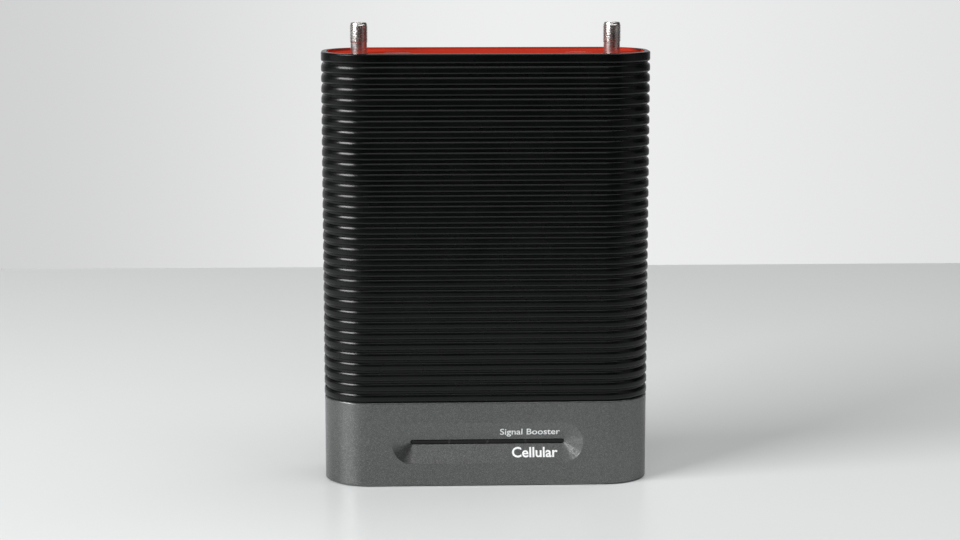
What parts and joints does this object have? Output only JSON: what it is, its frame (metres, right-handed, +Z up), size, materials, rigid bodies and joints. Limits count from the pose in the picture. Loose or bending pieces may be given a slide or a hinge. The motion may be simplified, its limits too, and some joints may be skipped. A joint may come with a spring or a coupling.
{
  "type": "cellular signal booster",
  "caption": "Free-standing cellular signal booster: ribbed black heat-sink tower on a grey base with a light bar, and coaxial sockets on a red top plate.",
  "frame": {"origin": "centre of the bounding box's bottom face, on the surface that the feet stand on", "axes": "+X to the right seen from the front, +Y to the back, +Z up; the light bar faces -Y"},
  "size_m": [0.176, 0.059, 0.2476],
  "materials": {
    "shell_black": "satin black enamel on cast aluminium",
    "red_plate": "satin moulded plastic",
    "base_grey": "grey paint with a fine metallic sparkle",
    "nickel": "bright nickel plate",
    "steel": "zinc-plated steel",
    "gold": "gold-plated contact metal",
    "dielectric": "white dielectric",
    "black_rubber": "soft matt rubber",
    "smoked": "smoked clear plastic",
    "black_plastic": "fine-textured black plastic",
    "circuit_green": "glass-epoxy board with solder mask",
    "chip_black": "moulded epoxy package",
    "ceramic_filter": "glazed ceramic block",
    "led_lens": "clear epoxy lamp",
    "thermal_grey": "soft silicone pad",
    "adhesive": "acrylic foam tape",
    "wire_red": "wire insulation",
    "wire_black": "wire insulation",
    "ribbon_white": "flat cable film"
  },
  "bodies": {
    "root": {"front_heatsink_shell": "shell_black", "rear_heatsink_shell": "shell_black", "seam_gaskets": "black_rubber", "top_bracket": "steel", "bracket_screws": "steel", "top_plate_adhesive": "adhesive", "top_plate": "red_plate", "outside_port_body": "nickel", "inside_port_body": "nickel", "outside_port_insulator": "dielectric", "inside_port_insulator": "dielectric", "outside_port_contact": "gold", "inside_port_contact": "gold", "port_lock_washers": "steel", "port_nuts": "nickel", "base_housing": "base_grey", "base_gasket": "black_rubber", "housing_screws": "steel", "base_plate": "black_plastic", "base_plate_screws": "steel", "rubber_feet": "black_rubber", "light_bar": "smoked", "light_baffle": "black_plastic", "led_board": "circuit_green", "status_leds": "led_lens", "led_board_screws": "steel", "main_board": "circuit_green", "board_screws": "steel", "uplink_shield": "steel", "downlink_shield": "steel", "control_shield": "steel", "band_filters": "ceramic_filter", "power_amplifiers": "chip_black", "low_noise_amplifiers": "chip_black", "microcontroller": "chip_black", "voltage_regulators": "chip_black", "power_inductors": "chip_black", "bulk_capacitors": "wire_black", "front_thermal_pads": "thermal_grey", "rear_thermal_pad": "thermal_grey", "led_ribbon": "ribbon_white", "ribbon_connectors": "ribbon_white", "power_header": "ribbon_white", "positive_lead": "wire_red", "negative_lead": "wire_black", "dc_inlet_body": "black_plastic", "dc_inlet_pin": "nickel", "dc_inlet_spring": "gold", "dc_inlet_nut": "nickel"}
  },
  "joints": []
}
